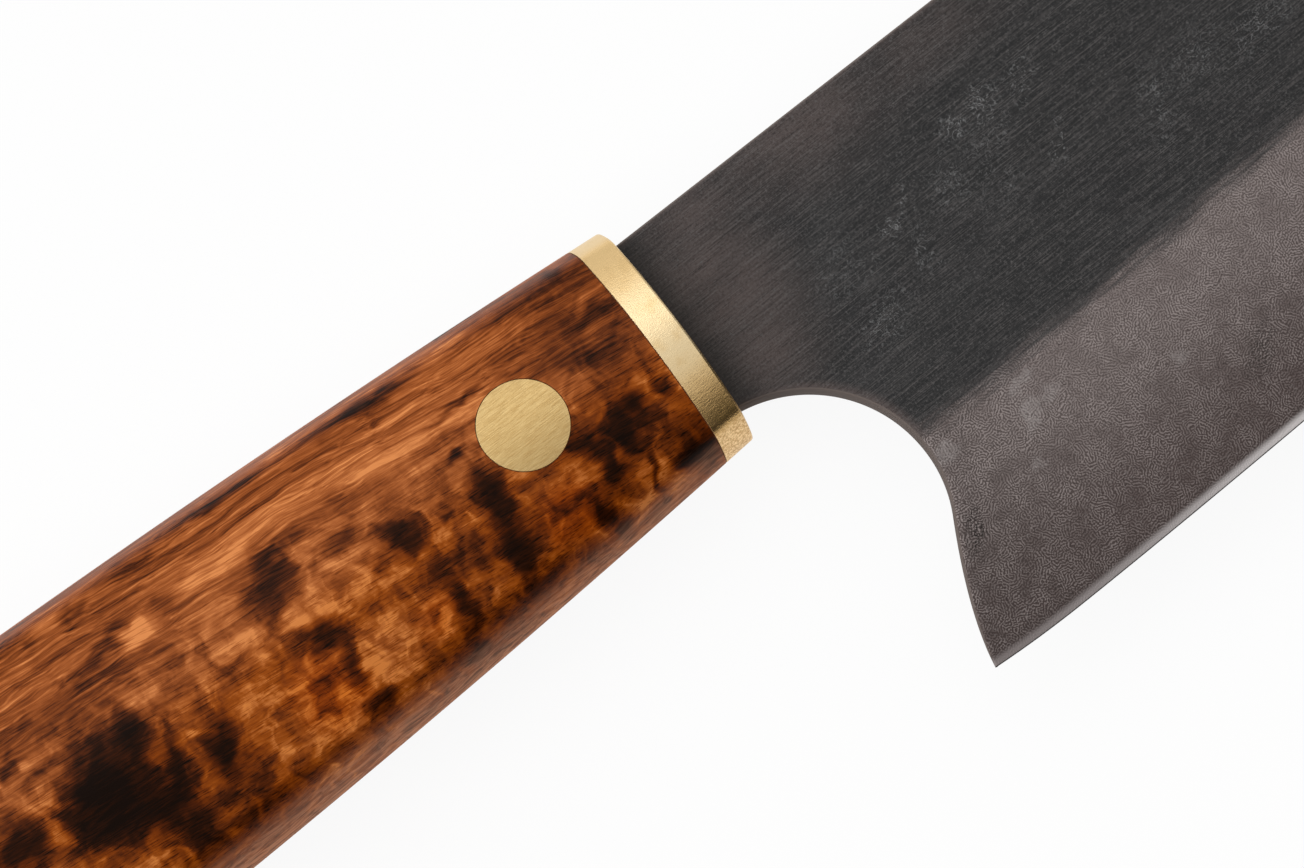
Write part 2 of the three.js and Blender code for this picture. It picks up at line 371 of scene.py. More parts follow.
def prism(outline, half):
    """Closed upright prism of an outline in X and Y, from half its height below the middle to above."""
    skin = Skin()
    bottom = skin.add([(x, y, -half) for x, y in outline])
    top = skin.add([(x, y, half) for x, y in outline])
    skin.bridge(bottom, top)
    skin.cap(bottom)
    skin.cap(top)
    return skin


def cut(mesh, tool):
    """The mesh with a tool's room cut out of it."""
    scene = bpy.context.scene
    body = bpy.data.objects.new("body", mesh)
    cutter = bpy.data.objects.new("cutter", tool.mesh("cutter"))
    scene.collection.objects.link(body)
    scene.collection.objects.link(cutter)
    modifier = body.modifiers.new("cut", "BOOLEAN")
    modifier.object = cutter
    modifier.operation = "DIFFERENCE"
    modifier.solver = "EXACT"
    whole = body.evaluated_get(bpy.context.evaluated_depsgraph_get())
    result = bpy.data.meshes.new_from_object(whole)
    bpy.data.objects.remove(body)
    bpy.data.objects.remove(cutter)
    return result


def place_piece(name, mesh, node, material, crease=CREASE_ANGLE):
    """Shows a mesh as the piece that stands for a CAD node."""
    mesh.materials.clear()
    mesh.materials.append(material)
    mesh.shade_smooth()
    mesh.set_sharp_from_angle(angle=crease)
    piece = bpy.data.objects.new(name, mesh)
    bpy.context.scene.collection.objects.link(piece)
    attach(piece, "root")
    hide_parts(node)


def circle(radius):
    """Circle round the pin's axis."""
    return [
        (PIN_X + radius * cos(turn), PIN_Y + radius * sin(turn))
        for turn in np.arange(PIN_SIDES) * 2 * pi / PIN_SIDES
    ]


def blade_rows():
    """The notch's outline, and where each row along the blade's side starts on notch or shoulder."""
    points, inwards = notch_outline()
    starts = points + RIM_EASE * inwards
    starts[0, 1] = edge_height(starts[0, 0])
    levels = np.concatenate([
        np.linspace(starts[-1, 1], TANG_LOW, NECK_ROWS + 1)[1:],
        np.linspace(TANG_LOW, TANG_HIGH, TANG_ROWS + 1)[1:],
        np.linspace(TANG_HIGH, SPINE_HEIGHT - 2 * SPINE_EASE, SPINE_ROWS + 1)[1:],
        SPINE_HEIGHT - SPINE_EASE * SPINE_EASE_LEVELS,
    ])
    shoulder = np.stack([shoulder_x(levels), levels], 1)
    return points, inwards, np.concatenate([starts, shoulder])


def row_heights(start, x):
    """Heights along one row that starts at a point.

    A low row keeps its height above the edge, and one above that level keeps its share of the rest.
    """
    above = start[1] - edge_height(start[0])
    full = spine_height(x) - edge_height(x)
    low = np.minimum(ROW_LOW, TIP_SHARE * full)
    if above <= ROW_LOW:
        return edge_height(x) + above / ROW_LOW * low
    share = (above - ROW_LOW) / (spine_height(start[0]) - edge_height(start[0]) - ROW_LOW)
    return edge_height(x) + low + share * (full - low)


def build_blade(material):
    """Blade and tang: two sides ruled by rows from notch and shoulder to the tip, joined all round."""
    points, inwards, starts = blade_rows()
    columns = np.concatenate([
        np.linspace(0, CLOSE_SHARE, CLOSE_COLUMNS, endpoint=False),
        np.linspace(CLOSE_SHARE, 1, WIDE_COLUMNS)[:-1],
    ])
    skin = Skin()
    sides = []
    for side in (1, -1):
        rows = []
        for start in starts:
            x = start[0] + columns * (TIP_X - start[0])
            y = row_heights(start, x)
            z = side * blade_half_thickness(x, y)
            rows.append(skin.add(raised(np.stack([x, y, z], 1))))
        skin.loft(rows, closed=False)
        sides.append(rows)
    upper, lower = sides
    skin.bridge(upper[0], lower[0], closed=False)
    skin.bridge(upper[-1], lower[-1], closed=False)

    # The tip, where all rows draw together
    point = skin.add(raised([(TIP_X, float(edge_height(TIP_X)), 0.0)]))[0]
    skin.fan([row[-1] for row in upper] + [row[-1] for row in reversed(lower)], point)

    # Eased wall of the finger notch, from the upper side round to the lower
    rim = []
    turns = np.linspace(0, pi / 2, RIM_STEPS + 1)[1:]
    for place, inward, start, top, bottom in zip(points, inwards, starts, upper, lower):
        half = float(blade_half_thickness(start[0], start[1]))
        ease = min(RIM_EASE, RIM_EASE_LIMIT * half)
        arc = [(RIM_EASE * (1 - sin(turn)), half - ease * (1 - cos(turn))) for turn in turns]
        profile = arc + [(depth, -z) for depth, z in reversed(arc)]
        wall = [(*(place + depth * inward), z) for depth, z in profile]
        rim.append([top[0], *skin.add(raised(wall)), bottom[0]])
    skin.loft(rim, closed=False)
    skin.cap(rim[0])

    # Shoulder against the ferrule, with the tang standing out of it
    build_shoulder(skin, rim[-1], [row[0] for row in upper], [row[0] for row in lower], len(rim))
    bore = prism(circle(PIN_RADIUS + PIN_GAP), HANDLE_MAX_THICKNESS)
    mesh = cut(skin.mesh("blade_steel"), bore)
    place_piece("blade_steel", mesh, "blade", material)


def tang_height(x):
    """Height of the tang, which tapers to a round end."""
    if x < TANG_END_X:
        return 2 * sqrt(TANG_END_RADIUS ** 2 - (x - TANG_END_X) ** 2)
    taper = (x + HANDLE_FRONT) / (TANG_END_X + HANDLE_FRONT)
    return TANG_HEIGHT + (TANG_END_HEIGHT - TANG_HEIGHT) * taper


def build_shoulder(skin, rim_end, upper, lower, notch_rows):
    """Closes the neck's shoulder and draws the tang out of it."""
    heights = [skin.points[index][1] for index in upper]
    first = min(range(notch_rows, len(upper)), key=lambda row: abs(heights[row] - TANG_LOW))
    last = min(range(notch_rows, len(upper)), key=lambda row: abs(heights[row] - TANG_HIGH))
    half = TANG_THICKNESS / 2
    rows = range(first, last + 1)
    count = len(rows)

    straight = np.linspace(-HANDLE_FRONT, TANG_END_X, TANG_STATIONS)
    turns = np.linspace(0, pi / 2, TANG_END_STATIONS + 2)[1:-1]
    rounded = TANG_END_X - TANG_END_RADIUS * np.sin(turns)
    share = np.linspace(-0.5, 0.5, count)
    stations = [[skin.points[upper[row]][:2] for row in rows]]
    for x in np.concatenate([straight, rounded]):
        stations.append([(x, y) for y in PIN_Y + share * tang_height(x)])
    loops = []
    for station in stations:
        top = skin.add([(x, y, half) for x, y in station])
        bottom = skin.add([(x, y, -half) for x, y in station[::-1]])
        loops.append(top + bottom)
    skin.loft(loops)
    skin.cap(loops[-1])

    tang_top = dict(zip(rows, loops[0][:count]))
    tang_bottom = dict(zip(rows, reversed(loops[0][count:])))
    skin.cap(rim_end)
    for row in range(notch_rows - 1, len(upper) - 1):
        after = row + 1
        near, far = (upper[row], lower[row]), (upper[after], lower[after])
        if first <= row and after <= last:
            skin.cap([near[0], far[0], tang_top[after], tang_top[row]])
            skin.cap([near[1], far[1], tang_bottom[after], tang_bottom[row]])
        elif after == first:
            skin.cap([near[0], far[0], tang_top[after], tang_bottom[after], far[1], near[1]])
        elif row == last:
            skin.cap([far[0], near[0], tang_top[row], tang_bottom[row], near[1], far[1]])
        else:
            skin.cap([near[0], far[0], far[1], near[1]])


def slot_loop(outer):
    """Points of the tang's slot, each on the way from the slot's middle to a point of the outline."""
    half_y, half_z = TANG_HEIGHT / 2 + SLOT_GAP, TANG_THICKNESS / 2 + SLOT_GAP
    loop = []
    for x, y, z in outer:
        reach = max(abs(y - PIN_Y) / half_y, abs(z) / half_z)
        slot_y = PIN_Y + (y - PIN_Y) / reach
        loop.append((x + (slot_y - y) * tan(FERRULE_LEAN), slot_y, z / reach))
    return loop


def build_ferrule(material):
    """Plate of the handle's own section with eased arrises and a slot for the tang."""
    break_depth, break_width = CHAMFER_BREAK
    stations = [
        (FERRULE_THICKNESS, FERRULE_EASE),
        (FERRULE_THICKNESS - FERRULE_EASE, 0.0),
        (FERRULE_THICKNESS * 2 / 3, 0.0),
        (FERRULE_THICKNESS / 3, 0.0),
        (FERRULE_CHAMFER, 0.0),
        (FERRULE_CHAMFER * break_depth, FERRULE_CHAMFER * break_width),
        (0.0, FERRULE_CHAMFER),
    ]
    skin = Skin()
    rings = [handle_section(back, inset) for back, inset in stations]
    loops = [skin.add(ring) for ring in rings]
    slots = [skin.add(slot_loop(rings[end])) for end in (0, -1)]
    skin.loft(loops)
    skin.loft([loops[0], slots[0], slots[1], loops[-1]])
    mesh = skin.mesh("ferrule_brass")
    place_piece("ferrule_brass", mesh, "ferrule", material, FERRULE_CREASE_ANGLE)


def bore_patch(skin, rings, near, far, low, high, side):
    """Draws rings in from a gap in the handle's face to the pin's bore, and returns the bore's rim."""
    def index(station, turn):
        turn = turn if side > 0 else SECTION_SIDES // 2 - turn
        return rings[station][turn % SECTION_SIDES]

    border = [index(station, low) for station in range(near, far)]
    border += [index(far, turn) for turn in range(low, high)]
    border += [index(station, high) for station in range(far, near, -1)]
    border += [index(near, turn) for turn in range(high, low, -1)]
    outer = np.array([skin.points[corner] for corner in border])
    angles = np.arctan2(outer[:, 1] - PIN_Y, outer[:, 0] - PIN_X)
    radius = PIN_RADIUS + PIN_LINE
    inner_x, inner_y = PIN_X + radius * np.cos(angles), PIN_Y + radius * np.sin(angles)
    loops = [border]
    for share in PATCH_RINGS:
        x = outer[:, 0] + share * (inner_x - outer[:, 0])
        y = outer[:, 1] + share * (inner_y - outer[:, 1])
        loops.append(skin.add(np.stack([x, y, side * surface_height(x, y)], 1)))
    skin.loft(loops)
    return loops[-1]


def handle_sections():
    """Rings of the handle from the joint, evenly about the pin and then along the body to the butt."""
    pin_zone_end = 2 * PIN_SETBACK - HANDLE_FRONT
    butt_start = HANDLE_LENGTH - BUTT_ROUND
    pin_zone = np.linspace(HANDLE_FRONT + HANDLE_EASE, pin_zone_end, 2 * PIN_STATIONS + 1)
    body = np.linspace(pin_zone[-1], butt_start, BODY_STATIONS)[1:]
    sections = [handle_section(HANDLE_FRONT, HANDLE_EASE)]
    sections += [handle_section(back) for back in np.concatenate([pin_zone, body])]
    for turn in np.linspace(0, pi / 2, BUTT_STATIONS)[1:]:
        back = butt_start + BUTT_ROUND * sin(turn)
        sections.append(handle_section(back, BUTT_ROUND * (1 - cos(turn))))
    return sections


def build_handle(material):
    """Handle lofted from the joint to its rounded butt, bored for the pin and mortised for the tang."""
    skin = Skin()
    rings = [skin.add(section) for section in handle_sections()]

    # Gaps in the two faces round the pin, in stations and in turns of the section
    step = 2 * pi / SECTION_SIDES
    reach = PIN_PATCH * (PIN_SETBACK - HANDLE_FRONT) / PIN_STATIONS
    low = round(asin((PIN_Y - reach) / half_height(PIN_SETBACK)) / step)
    high = round(asin((PIN_Y + reach) / half_height(PIN_SETBACK)) / step)
    near, far = 1 + PIN_STATIONS - PIN_PATCH, 1 + PIN_STATIONS + PIN_PATCH
    gap = {turn % SECTION_SIDES for turn in range(low, high)}
    gap |= {(SECTION_SIDES // 2 - turn - 1) % SECTION_SIDES for turn in range(low, high)}

    for station, (here, after) in enumerate(zip(rings, rings[1:])):
        for turn in range(SECTION_SIDES):
            if near <= station < far and turn in gap:
                continue
            beside = (turn + 1) % SECTION_SIDES
            skin.faces.append((here[turn], here[beside], after[beside], after[turn]))
    skin.cap(rings[0])
    skin.cap(rings[-1])
    skin.bridge(*[bore_patch(skin, rings, near, far, low, high, side) for side in (1, -1)])
    mortise = prism(mortise_outline(), TANG_THICKNESS / 2 + BED_THICKNESS)
    mesh = cut(skin.mesh("handle_wood"), mortise)
    place_piece("handle_wood", mesh, "handle", material)


def build_pin(material):
    """Pin whose two ends are ground flush with the handle's faces, with a fine eased rim."""
    skin = Skin()
    rims = []
    for side in (1, -1):
        loops = []
        for radius in (*PIN_RINGS, PIN_RADIUS - PIN_EASE, PIN_RADIUS):
            drop = PIN_EASE if radius == PIN_RADIUS else 0.0
            ring = [(x, y, side * (wood_surface(x, y) - drop)) for x, y in circle(radius)]
            loops.append(skin.add(ring))
        skin.fan(loops[0], skin.add([(PIN_X, PIN_Y, side * wood_surface(PIN_X, PIN_Y))])[0])
        skin.loft(loops)
        rims.append(loops[-1])
    skin.bridge(*rims)
    place_piece("pin_brass", skin.mesh("pin_brass"), "handle_pin", material)


# Places of the photograph on the knife

def wood_surface(x, y):
    return float(surface_height(x, y))


def steel_surface(x, y):
    return SPINE_THICKNESS / 2


def photo_point(pixel_x, pixel_y, surface):
    """Point of the knife's frame under a pixel of the photograph, where surface(x, y) is its height."""
    focal = LENS / SENSOR * PHOTO_WIDTH
    eye = CAMERA_AIM + CAMERA_DISTANCE * CAMERA_BACK
    ray = CAMERA_RIGHT * ((pixel_x - PHOTO_WIDTH / 2) / focal)
    ray += CAMERA_UP * ((PHOTO_HEIGHT / 2 - pixel_y) / focal)
    ray -= CAMERA_BACK
    level = 0.0
    for _ in range(RAY_STEPS):
        point = eye + ray * ((level - eye.z) / ray.z)
        level = surface(point.x, point.y)
    return point


# Materials, with colours in linear light

SPOT_DEPTH = 6.0  # half the depth of a spot in the material, in millimetres


class Nodes:
    """A node tree, with short ways to add to it."""

    def __init__(self, tree):
        self.tree = tree

    def feed(self, socket, value):
        """Links a socket to another or sets its value. A colour is given by red, green and blue."""
        if isinstance(value, bpy.types.NodeSocket):
            self.tree.links.new(value, socket)
        elif socket.type == "RGBA":
            socket.default_value = (*value, 1.0)
        else:
            socket.default_value = value

    def add(self, kind, inputs=None, **settings):
        node = self.tree.nodes.new(kind)
        for name, value in settings.items():
            setattr(node, name, value)
        for socket, value in (inputs or {}).items():
            self.feed(node.inputs[socket], value)
        return node

    def math(self, operation, *values):
        return self.add("ShaderNodeMath", dict(enumerate(values)), operation=operation).outputs[0]

    def times(self, first, second):
        return self.math("MULTIPLY", first, second)

    def less(self, first, second):
        return self.math("SUBTRACT", first, second)

    def most(self, first, second):
        return self.math("MAXIMUM", first, second)

    def plus(self, base, value, share=1.0):
        """A base with a share of a value added."""
        return self.math("MULTIPLY_ADD", value, share, base)

    def vector(self, operation, *values):
        node = self.add("ShaderNodeVectorMath", dict(enumerate(values)), operation=operation)
        return node.outputs["Value" if operation in ("LENGTH", "DOT_PRODUCT") else "Vector"]

    def ramp(self, value, stops):
        """A value turned into colours, each written with its place on the way."""
        node = self.add("ShaderNodeValToRGB", {0: value})
        elements = node.color_ramp.elements
        while len(elements) < len(stops):
            elements.new(0.5)
        for element, (position, tone) in zip(elements, stops):
            element.position = position
            element.color = (*tone, 1.0)
        return node.outputs[0]


class Look(Nodes):
    """Node tree of one material. Its place is in millimetres of the knife's frame."""

    def __init__(self, name):
        self.material = bpy.data.materials.new(name)
        self.material.use_nodes = True
        super().__init__(self.material.node_tree)
        self.shader = self.tree.nodes["Principled BSDF"]
        where = self.add("ShaderNodeTexCoord").outputs["Object"]
        self.place = self.scaled(self.vector("SUBTRACT", where, SEAT), (1 / MM,) * 3)

    def scaled(self, vector, factors):
        return self.vector("MULTIPLY", vector, factors)

    def parts(self, vector):
        return self.add("ShaderNodeSeparateXYZ", {0: vector}).outputs

    def joined(self, x, y, z):
        return self.add("ShaderNodeCombineXYZ", {0: x, 1: y, 2: z}).outputs[0]

    def noise(self, vector, scale=1.0, detail=2.0, roughness=0.5, distortion=0.0, output="Fac"):
        inputs = {"Vector": vector, "Scale": scale, "Detail": detail, "Roughness": roughness,
                  "Distortion": distortion}
        return self.add("ShaderNodeTexNoise", inputs).outputs[output]

    def streaked(self, vector, factors, detail=2.0, roughness=0.5):
        """Noise with its own scale along each axis."""
        return self.noise(self.scaled(vector, factors), 1.0, detail, roughness)

    def span(self, value, low, high, to_low=0.0, to_high=1.0):
        """Smooth step of a value from one range to another."""
        inputs = {"Value": value, "From Min": low, "From Max": high,
                  "To Min": to_low, "To Max": to_high}
        return self.add("ShaderNodeMapRange", inputs, interpolation_type="SMOOTHSTEP").outputs[0]

    def swing(self, value, reach, start=0.0):
        """A value about a half turned into a swing of a given reach about a start."""
        return self.plus(start, self.less(value, 0.5), reach)

    def ridge(self, value, half_width, core=0.0):
        """Thin lines where a value passes a half."""
        return self.span(self.math("ABSOLUTE", self.less(value, 0.5)), half_width, core)

    def mix(self, share, first, second, blend="MIX"):
        inputs = {0: share, 6: first, 7: second}
        return self.add("ShaderNodeMix", inputs, data_type="RGBA", blend_type=blend).outputs[2]

    def tint(self, base, tone, value, low, high, share=1.0):
        """A base colour with a share of a tone laid over it as a value runs from low to high."""
        return self.mix(self.span(value, low, high, 0.0, share), base, tone)

    def stain_and_shade(self, share, base, tone):
        """A base colour seen through a share of a tone, as through coloured glass."""
        return self.mix(share, base, tone, "MULTIPLY")

    def blend(self, share, first, second):
        return self.add("ShaderNodeMix", {0: share, 2: first, 3: second}, data_type="FLOAT").outputs[0]

    def bump(self, height, distance, strength):
        inputs = {"Height": height, "Distance": distance, "Strength": strength}
        return self.add("ShaderNodeBump", inputs).outputs[0]

    def warped(self, vector, scale, reach, detail=3.0):
        """A vector pushed about by noise, up to about half the reach each way."""
        push = self.noise(self.scaled(vector, scale), 1.0, detail, 0.55, output="Color")
        return self.vector("MULTIPLY_ADD", self.vector("SUBTRACT", push, (0.5,) * 3), reach, vector)

    def turned(self, vector, angle):
        """A vector in a frame that is turned about the upright axis."""
        inputs = {"Vector": vector, "Angle": -angle}
        return self.add("ShaderNodeVectorRotate", inputs, rotation_type="Z_AXIS").outputs[0]

    def upright(self):
        """How squarely the surface looks up or down: one on the faces, nothing on an upright wall."""
        normal = self.add("ShaderNodeNewGeometry").outputs["Normal"]
        return self.math("ABSOLUTE", self.parts(normal)[2])

    def distance(self, place, centre, along, across, turn):
        """Distance from a spot's centre, in shares of its half length and half width."""
        inputs = {
            "Vector": place,
            "Location": centre,
            "Rotation": (0.0, 0.0, radians(turn)),
            "Scale": (along, across, SPOT_DEPTH),
        }
        local = self.add("ShaderNodeMapping", inputs, vector_type="TEXTURE").outputs[0]
        return self.vector("LENGTH", local)

    def distances(self, place, spots, surface):
        """For each spot of the photograph on a surface, the distance from it and its strength."""
        for pixel_x, pixel_y, along, across, turn, strength in spots.values():
            centre = photo_point(pixel_x, pixel_y, surface)
            yield self.distance(place, centre, along, across, turn), strength

    def finish(self, **values):
        for name, value in values.items():
            self.feed(self.shader.inputs[name.replace("_", " ")], value)
        return self.material


BRASS = (0.82, 0.575, 0.275)
# painted highlight: the crest is painted paler where it catches the light
BRASS_CREST_HIGHLIGHT = (0.84, 0.655, 0.385)
BRASS_TARNISH = (0.72, 0.49, 0.22)
BRASS_GRAIN = (0.45, 0.28, 0.11)
# painted reflection on the flanks
BRASS_FLANK_REFLECTION = (0.9, 0.7, 0.4)
# painted reflection towards the lower end
BRASS_LOW_END_REFLECTION = (0.9, 0.55, 0.2)
# dull and bright grains of the lower flank's painted glints
BRASS_DULL = (0.5, 0.29, 0.11)
BRASS_SPARK = (0.98, 0.72, 0.4)


def brass_look():
    """Satin brass with a fine grain and scratches across its edge, and painted light: a painted
    highlight on the crest, painted reflections on the flanks and the lower end, and painted glints on
    the lower flank.
    """
    look = Look("satin_brass")
    height = look.parts(look.place)[1]
    scratches = look.streaked(look.place, (1.5, 6.0, 6.0), 3.0, 0.65)
    grains = look.noise(look.place, 11.0, 2.0, 0.6)
    tarnish = look.noise(look.place, 0.7, 3.0)
    flank = look.span(look.upright(), 0.75, 0.45)
    low_flank = look.times(flank, look.span(height, 2.0, -2.0))
    sparkle = look.span(look.noise(look.place, 4.5, 3.0, 0.7), 0.38, 0.62)

    # Painted highlight: paler towards the middle of the faces, where the crest catches the light
    tone = look.tint(BRASS, BRASS_CREST_HIGHLIGHT, look.math("ABSOLUTE", height), 7.0, 2.0)
    tone = look.tint(tone, BRASS_TARNISH, tarnish, 0.45, 0.75, 0.5)
    tone = look.tint(tone, BRASS_GRAIN, grains, 0.55, 0.75, 0.4)
    # Painted reflection: the flanks are painted paler, as if they mirrored the bright room and floor
    tone = look.mix(look.times(flank, 0.6), tone, BRASS_FLANK_REFLECTION)
    # Painted reflection: more orange towards the lower end, as if it mirrored the brown wood
    tone = look.tint(tone, BRASS_LOW_END_REFLECTION, height, -3.0, -9.0, 0.8)
    # Painted glints: the lower flank's grain painted dull and bright, as if it caught the light
    tone = look.mix(look.times(low_flank, 0.8), tone, look.mix(sparkle, BRASS_DULL, BRASS_SPARK))
    return look.finish(
        Base_Color=tone,
        Metallic=1.0,
        Roughness=look.swing(scratches, 0.2, look.blend(flank, 0.23, 0.4)),
        Normal=look.bump(look.plus(scratches, grains), 0.04 * MM, 0.4),
    )


PIN_BRASS = (0.62, 0.44, 0.195)
PIN_BRUSHED = (0.49, 0.315, 0.12)
PIN_GRAIN = (0.36, 0.22, 0.08)
PIN_RIM = (0.6, 0.47, 0.24)


def pin_look():
    """Brass ground flush, with brush lines along the handle."""
    look = Look("brushed_brass")
    lines = look.streaked(look.place, (0.6, 11.0, 11.0), 3.0, 0.65)
    grains = look.noise(look.place, 6.0, 2.0, 0.6)
    top = (PIN_X, PIN_Y, HANDLE_FRONT_THICKNESS / 2)
    from_middle = look.distance(look.place, top, PIN_RADIUS, PIN_RADIUS, 0)
    tone = look.tint(PIN_BRASS, PIN_BRUSHED, lines, 0.3, 0.7)
    tone = look.tint(tone, PIN_GRAIN, grains, 0.6, 0.75, 0.4)
    tone = look.tint(tone, PIN_RIM, from_middle, 0.8, 1.3, 0.3)
    return look.finish(
        Base_Color=tone,
        Metallic=1.0,
        Roughness=look.swing(lines, 0.25, 0.38),
        Normal=look.bump(lines, 0.05 * MM, 0.5),
    )


ADHESIVE_DARK = (0.10, 0.036, 0.014)
ADHESIVE_LIGHT = (0.2, 0.078, 0.032)


def adhesive_look():
    """Brown cured adhesive, faintly mottled."""
    look = Look("cured_adhesive")
    mottle = look.noise(look.place, 3.0, 3.0)
    return look.finish(
        Base_Color=look.mix(mottle, ADHESIVE_DARK, ADHESIVE_LIGHT),
        Roughness=look.span(mottle, 0.3, 0.7, 0.45, 0.7),
        Specular_IOR_Level=0.1,
    )


# Places of the burl's figure in the photograph: pixel across and down, then half its length along the
# grain and half its width across it in millimetres, its turn in degrees and its strength
DARK_KNOTS = {
    "round knot": (271, 584, 2.6, 2.3, 20, 0.78),
    "second round knot": (403, 536, 2.2, 1.9, 0, 0.78),
    "small knot": (343, 538, 1.3, 0.9, 0, 0.5),
    "smear, upper": (487, 478, 1.2, 1.9, -15, 0.75),
    "smear, middle": (504, 514, 0.9, 2.2, -12, 0.7),
    "smear, lower": (521, 552, 1.0, 1.8, -10, 0.75),
    "foot of the smear": (545, 584, 2.6, 0.8, 12, 0.7),
    "hook, root": (580, 446, 2.2, 1.2, -25, 0.8),
    "hook, bend": (612, 472, 1.6, 2.2, -30, 0.82),
    "hook, end": (610, 514, 1.0, 2.2, 15, 0.82),
    "bar, top": (634, 402, 1.4, 1.7, 0, 0.85),
    "bar, foot": (624, 434, 1.2, 1.7, 10, 0.85),
    "spot beside the ferrule": (664, 386, 0.8, 1.5, 15, 0.8),
    "shade, ferrule's foot": (706, 450, 1.8, 1.1, 10, 0.75),
    "ripple before the ferrule": (655, 472, 0.35, 2.0, -12, 0.6),
    "streak behind the pin": (460, 402, 2.6, 0.4, 6, 0.6),
    "fleck behind the pin": (458, 458, 1.1, 0.4, 12, 0.7),
    "long knot below mid length": (466, 608, 0.9, 2.4, -8, 0.8),
    "knot over the eye": (329, 634, 1.7, 1.6, 0, 0.7),
    "knot beside the eye": (384, 700, 1.1, 1.2, 0, 0.8),
    "arm beside the eye": (357, 668, 0.7, 1.6, -20, 0.6),
    "fleck over the pale patch": (379, 570, 0.8, 0.7, 0, 0.55),
    "great blot, middle": (107, 768, 3.8, 3.0, 10, 0.86),
    "great blot, right": (158, 805, 3.8, 2.6, -22, 0.9),
    "great blot, crown": (129, 735, 1.0, 2.0, -10, 0.8),
    "great blot, left foot": (96, 812, 2.6, 2.0, 10, 0.75),
    "great blot, right foot": (199, 834, 2.4, 1.2, 0, 0.75),
    "great blot, arm": (178, 764, 0.7, 2.2, -25, 0.8),
    "corner blot": (14, 850, 2.8, 2.2, 0, 0.85),
    "knot right of the blot": (224, 748, 1.2, 2.6, -30, 0.8),
    "dash by the upper edge": (69, 612, 1.3, 0.5, 5, 0.6),
    "dash over the flame": (163, 606, 1.9, 0.6, 8, 0.45),
    "dash left of the flame": (100, 650, 2.0, 0.7, 8, 0.5),
    "shade over the pin": (560, 350, 4.5, 2.6, 0, 0.4),
    "shade before the pin": (600, 400, 4.0, 4.0, 0, 0.25),
    "shade under the hook": (585, 515, 3.0, 3.4, 0, 0.3),
    "shade round the smear": (505, 530, 2.8, 4.6, -12, 0.4),
    "shade below mid length": (440, 560, 2.0, 2.6, 0, 0.3),
    "shade by the foot": (490, 640, 5.5, 1.5, 0, 0.45),
    "shade right of the blot": (245, 775, 2.6, 3.4, -20, 0.45),
    "shade round the blot": (115, 800, 6.4, 4.4, 10, 0.5),
    "shade along the foot": (265, 815, 6.0, 1.2, 3, 0.4),
    "streak over the blot": (178, 690, 2.6, 0.7, 0, 0.25),
    "upper edge, left end": (4, 650, 2.6, 1.2, 0, 0.45),
    "upper edge, left": (124, 567, 4.0, 0.7, 0, 0.35),
    "upper edge, middle": (205, 508, 3.0, 0.5, 0, 0.4),
    "upper edge, right": (335, 422, 4.0, 0.9, 0, 0.4),
    "upper edge, behind the pin": (385, 392, 3.2, 0.8, 0, 0.4),
    "upper edge, over the pin": (503, 309, 4.5, 1.1, 0, 0.45),
    "upper edge, by the ferrule": (568, 280, 5.0, 1.6, 0, 0.5),
    "shade by the ferrule": (625, 335, 3.6, 3.4, 0, 0.35),
    "shade, ferrule's end": (690, 432, 2.2, 2.6, 0, 0.5),
    "shade over the blot": (45, 700, 7.0, 4.0, 0, 0.2),
    "shade over the eye": (286, 662, 2.5, 1.5, 0, 0.2),
}
LIGHT_FLAMES = {
    "light flame": (141, 634, 2.6, 1.05, 8, 1.25),
    "flame over it": (186, 588, 2.6, 0.7, 6, 0.3),
    "flame by the round knot": (226, 570, 2.2, 0.8, 8, 0.45),
    "pale patch": (394, 655, 3.2, 2.2, 10, 0.95),
    "flame by the blot": (214, 786, 0.9, 3.0, -20, 0.4),
    "flame under the blot": (60, 848, 1.1, 3.0, -25, 1.0),
    "light field behind the pin": (384, 466, 5.0, 1.8, 0, 0.3),
    "flame by the ferrule": (655, 345, 1.8, 1.6, 15, 0.4),
    "flame at the ferrule's middle": (678, 412, 1.0, 2.2, -20, 0.5),
    "flame beside the smear": (478, 520, 1.4, 1.4, 0, 0.35),
    "flame under the pin": (548, 500, 1.4, 2.6, 0, 0.15),
    "stroke in the hook": (640, 440, 0.4, 1.8, -15, 0.6),
    "flame right of the eye": (358, 729, 1.6, 1.2, 0, 0.55),
}
EYES = {
    "eye under the pin": (571, 516, 2.3, 2.2, 0, 0.7),
    "eye at mid length": (331, 692, 2.5, 2.7, 0, 0.8),
    "eye below the round knot": (436, 614, 1.4, 1.5, 0, 0.6),
}


GRAIN_TURN = radians(-6)  # lean of the grain against the handle's length
WOOD_STAIN = [  # from the darkest knot to the lightest flame
    (0.0, (0.007, 0.0025, 0.001)),
    (0.15, (0.030, 0.0075, 0.002)),
    (0.3, (0.088, 0.019, 0.004)),
    (0.5, (0.215, 0.050, 0.009)),
    (0.7, (0.360, 0.097, 0.022)),
    (0.85, (0.500, 0.155, 0.042)),
    (1.0, (0.700, 0.250, 0.075)),
]
GOLDEN_STAIN = (0.88, 0.7, 0.2)
EYE_STAIN = (1.0, 0.75, 0.25)
# painted shade on the upper flank
UPPER_FLANK_PAINTED_SHADE = (0.62, 0.6, 0.85)
# painted sheen on the flanks, most of all the lower one
LOWER_FLANK_PAINTED_SHEEN = (0.72, 0.32, 0.17)


